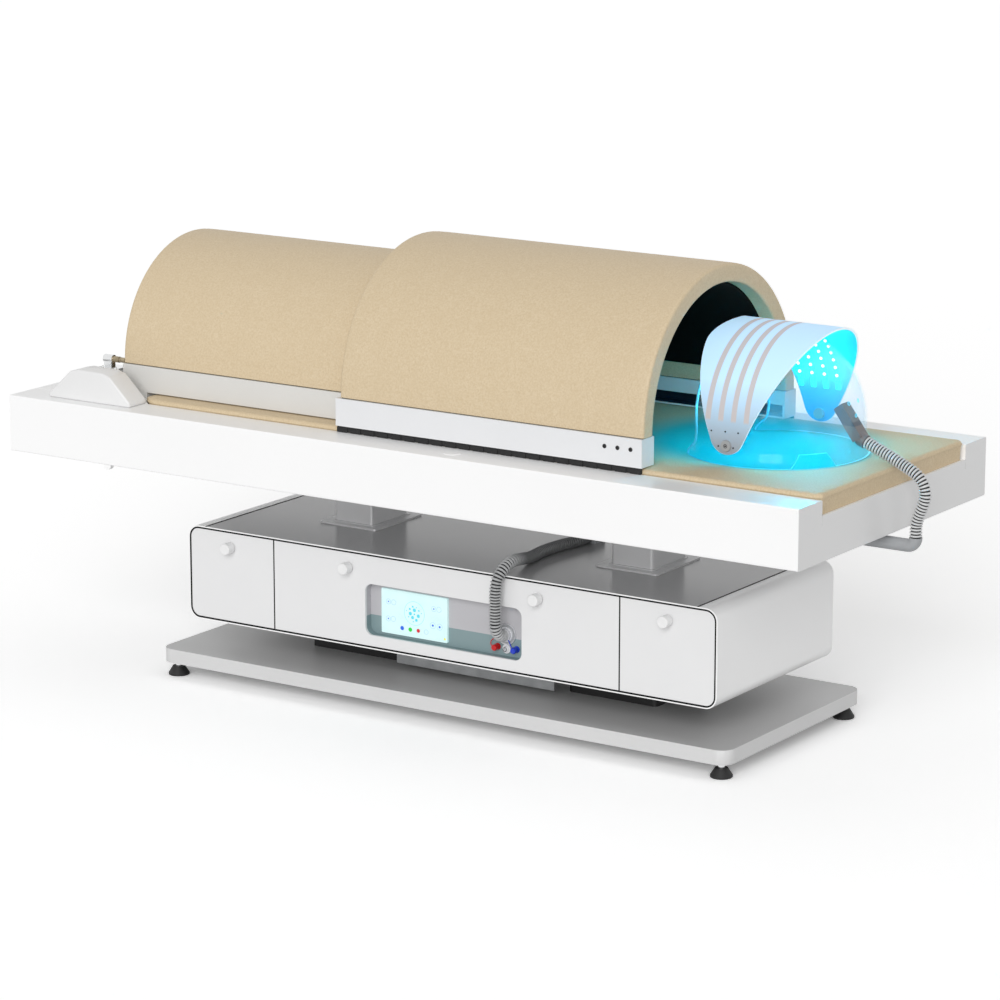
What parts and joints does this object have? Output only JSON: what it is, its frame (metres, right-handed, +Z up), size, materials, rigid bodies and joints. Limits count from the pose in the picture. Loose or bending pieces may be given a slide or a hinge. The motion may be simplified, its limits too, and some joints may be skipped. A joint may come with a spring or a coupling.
{
  "type": "spa bed",
  "caption": "Motor-lifted spa bed with a sliding heated half-tunnel canopy, fixed foot canopy, clear head hood with tilting light visor, drawers and a control console.",
  "frame": {"origin": "on the floor under the middle of the deck", "axes": "+X to the head end, -Y to the operator's side with the console, +Z up"},
  "size_m": [2.2851, 0.882, 1.1236],
  "materials": {
    "lacquered_board": "satin light grey lacquer over board",
    "white_moulding": "white gel-coated moulding",
    "white_sheet": "white powder coat on sheet",
    "front_sheet": "pale grey satin powder coat",
    "grey_sheet": "mid grey gloss powder coat",
    "drawer_board": "laminated board",
    "leatherette": "fine pebbled beige leatherette over foam",
    "rail_white": "white powder-coated aluminium extrusion",
    "frame_alu": "plain aluminium tube",
    "column_steel": "brushed steel section",
    "chrome": "polished chrome",
    "black_rubber": "black rubber",
    "black_plastic": "black moulded plastic",
    "grey_plastic": "grey moulded plastic",
    "white_plastic": "white moulded plastic",
    "hose_grey": "ribbed grey plastic hose",
    "dark_nozzle": "dark blue-grey plastic",
    "clear_acrylic": "clear acrylic with bright edges",
    "visor_white": "translucent white acrylic",
    "light_strip": "light strip behind a diffuser",
    "screen": "lit touch screen",
    "red_plastic": "red plug",
    "blue_plastic": "blue plug"
  },
  "bodies": {
    "base": {"base_plate": "lacquered_board", "foot_stems": "chrome", "column_feet": "black_plastic", "tie_beam": "grey_sheet", "outer_columns": "column_steel", "collar_plates": "column_steel", "cabinet_end_caps": "white_sheet", "cabinet_top": "grey_sheet", "cabinet_bottom": "grey_sheet", "cabinet_back": "front_sheet", "inner_frame": "drawer_board", "drawer_slides": "column_steel", "centre_cover": "front_sheet", "console_tray": "grey_plastic", "touch_screen": "screen", "control_unit": "black_plastic", "panel_sockets": "white_plastic", "red_plug": "red_plastic", "blue_plug": "blue_plastic", "hose_cuff": "hose_grey", "service_hose": "hose_grey", "hose_outlet": "grey_plastic"},
    "foot_1": {"foot_pad_1": "black_rubber"},
    "foot_2": {"foot_pad_2": "black_rubber"},
    "foot_3": {"foot_pad_3": "black_rubber"},
    "foot_4": {"foot_pad_4": "black_rubber"},
    "drawer_left": {"drawer_front_left": "front_sheet", "drawer_box_left": "drawer_board", "drawer_knob_left": "white_plastic"},
    "drawer_right": {"drawer_front_right": "front_sheet", "drawer_box_right": "drawer_board", "drawer_knob_right": "white_plastic"},
    "lock_left": {"lock_knob_left": "white_plastic"},
    "lock_right": {"lock_knob_right": "white_plastic"},
    "middle_stage": {"middle_columns": "column_steel"},
    "deck": {"inner_columns": "column_steel", "deck_frame": "frame_alu", "deck_rails": "white_moulding", "deck_ends": "white_moulding", "deck_pan": "white_moulding", "mattress": "leatherette", "deck_fittings": "white_plastic", "end_housings": "white_plastic", "clamp_brackets": "chrome", "clamp_pins": "black_plastic", "small_cover": "leatherette", "small_rails": "rail_white", "hood": "clear_acrylic", "hood_pivots": "clear_acrylic", "nozzle": "dark_nozzle", "head_hose": "hose_grey", "elbow_pipe": "grey_plastic"},
    "canopy": {"big_cover": "leatherette", "big_liner": "black_plastic", "big_rails": "rail_white", "glide_strips": "black_rubber", "rail_screws": "black_plastic"},
    "visor": {"visor_shell": "visor_white", "visor_strips": "light_strip", "visor_caps": "grey_plastic"}
  },
  "joints": [
    {"name": "lift", "type": "slide", "parent": "base", "child": "deck", "axis": [0, 0, 1], "range_m": [-0.12, 0.2]},
    {"name": "middle_stage_slide", "type": "slide", "parent": "base", "child": "middle_stage", "axis": [0, 0, 1], "range_m": [-0.06, 0.1]},
    {"name": "canopy_slide", "type": "slide", "parent": "deck", "child": "canopy", "axis": [-1, 0, 0], "range_m": [0, 0.56]},
    {"name": "visor_tilt", "type": "hinge", "parent": "deck", "child": "visor", "pos_m": [0.788, 0, 0.76], "axis": [0, 1, 0], "range_deg": [-45, 35]},
    {"name": "drawer_left_slide", "type": "slide", "parent": "base", "child": "drawer_left", "axis": [0, -1, 0], "range_m": [0, 0.35]},
    {"name": "drawer_right_slide", "type": "slide", "parent": "base", "child": "drawer_right", "axis": [0, -1, 0], "range_m": [0, 0.35]},
    {"name": "lock_left_turn", "type": "hinge", "parent": "base", "child": "lock_left", "pos_m": [-0.2485, -0.214, 0.339], "axis": [0, -1, 0], "range_deg": [0, 90]},
    {"name": "lock_right_turn", "type": "hinge", "parent": "base", "child": "lock_right", "pos_m": [0.2915, -0.214, 0.339], "axis": [0, -1, 0], "range_deg": [0, 90]},
    {"name": "foot_1_turn", "type": "hinge", "parent": "base", "child": "foot_1", "pos_m": [-0.756, -0.232, 0.011], "axis": [0, 0, 1], "continuous": true},
    {"name": "foot_2_turn", "type": "hinge", "parent": "base", "child": "foot_2", "pos_m": [-0.756, 0.34, 0.011], "axis": [0, 0, 1], "continuous": true},
    {"name": "foot_3_turn", "type": "hinge", "parent": "base", "child": "foot_3", "pos_m": [0.796, -0.232, 0.011], "axis": [0, 0, 1], "continuous": true},
    {"name": "foot_4_turn", "type": "hinge", "parent": "base", "child": "foot_4", "pos_m": [0.796, 0.34, 0.011], "axis": [0, 0, 1], "continuous": true}
  ],
  "couplings": [
    {"joint": "middle_stage_slide", "follows": "lift", "ratio": 0.5}
  ]
}
